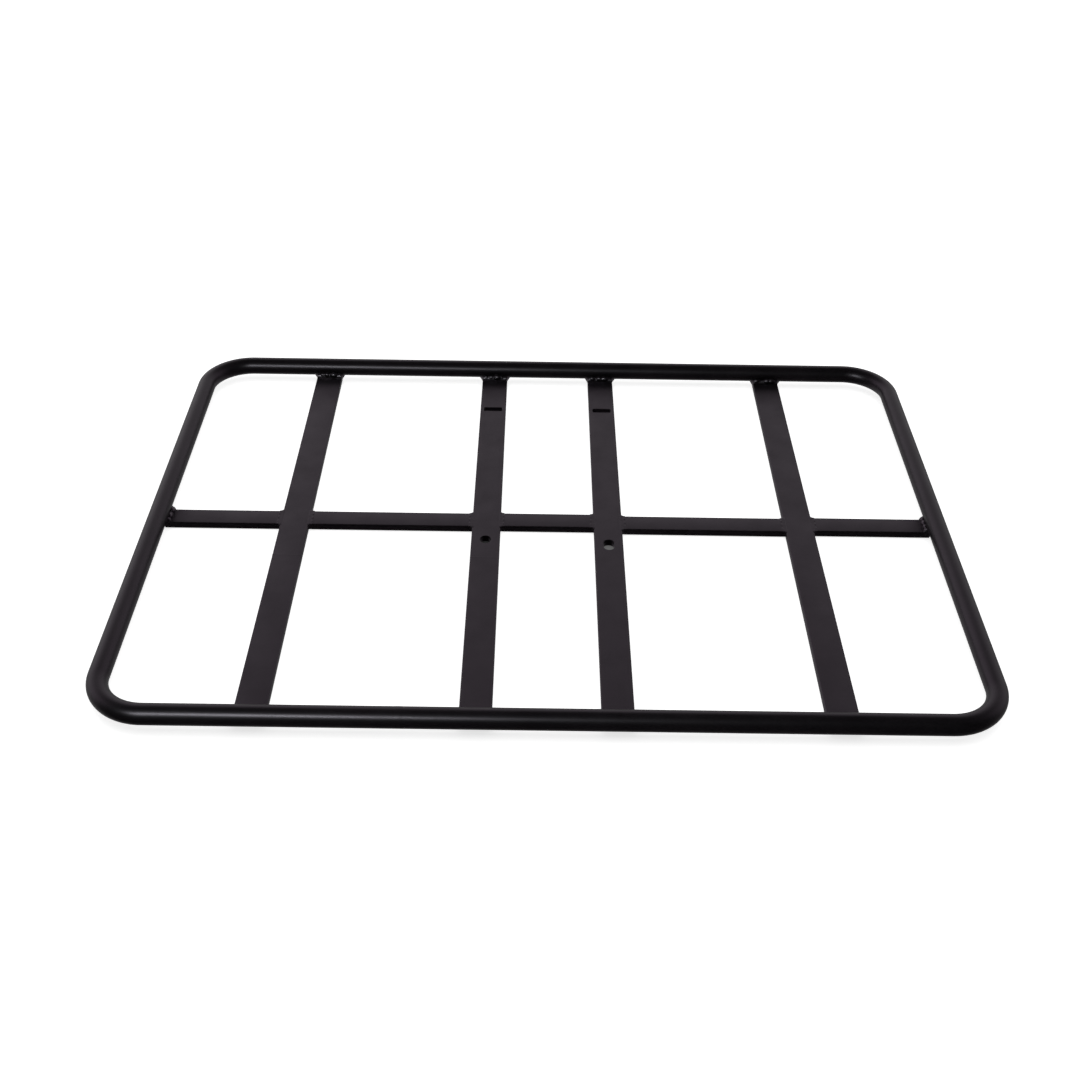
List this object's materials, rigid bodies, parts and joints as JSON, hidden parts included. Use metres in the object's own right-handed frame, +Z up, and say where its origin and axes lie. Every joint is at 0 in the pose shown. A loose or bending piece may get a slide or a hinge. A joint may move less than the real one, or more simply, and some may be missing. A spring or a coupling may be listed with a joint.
{
  "type": "luggage rack platform",
  "caption": "Flat welded luggage platform: a rounded rectangular ring of round tube, with flat slats and short crosspieces inside it, slotted to bolt to brackets.",
  "frame": {"origin": "middle of the footprint, on the plane that the platform lies on, the undersides of the slats", "axes": "+X to the right along the long side, +Y towards the back (the strap-slot end), +Z up, out of the load side"},
  "size_m": [0.5334, 0.4064, 0.017],
  "materials": {
    "tube_paint": "semi-gloss black powder coat with fine orange peel",
    "bar_paint": "satin black powder coat over flat bar, with ground patches showing faintly through",
    "weld_paint": "satin black powder coat over rippled weld beads"
  },
  "bodies": {
    "root": {"ring_tube": "tube_paint", "ring_joint_weld": "weld_paint", "left_outer_slat_rear": "bar_paint", "left_outer_slat_front": "bar_paint", "left_outer_slat_splice_weld": "weld_paint", "left_outer_slat_rear_weld": "weld_paint", "left_outer_slat_front_weld": "weld_paint", "left_inner_slat_rear": "bar_paint", "left_inner_slat_front": "bar_paint", "left_inner_slat_splice_weld": "weld_paint", "left_inner_slat_rear_weld": "weld_paint", "left_inner_slat_front_weld": "weld_paint", "right_inner_slat": "bar_paint", "right_inner_slat_rear_weld": "weld_paint", "right_inner_slat_front_weld": "weld_paint", "right_outer_slat": "bar_paint", "right_outer_slat_rear_weld": "weld_paint", "right_outer_slat_front_weld": "weld_paint", "left_end_crosspiece": "bar_paint", "left_end_crosspiece_weld_a": "weld_paint", "left_end_crosspiece_weld_b": "weld_paint", "left_crosspiece": "bar_paint", "left_crosspiece_weld_a": "weld_paint", "left_crosspiece_weld_b": "weld_paint", "middle_crosspiece": "bar_paint", "middle_crosspiece_weld_a": "weld_paint", "middle_crosspiece_weld_b": "weld_paint", "right_crosspiece": "bar_paint", "right_crosspiece_weld_a": "weld_paint", "right_crosspiece_weld_b": "weld_paint", "right_end_crosspiece": "bar_paint", "right_end_crosspiece_weld_a": "weld_paint", "right_end_crosspiece_weld_b": "weld_paint"}
  },
  "joints": []
}
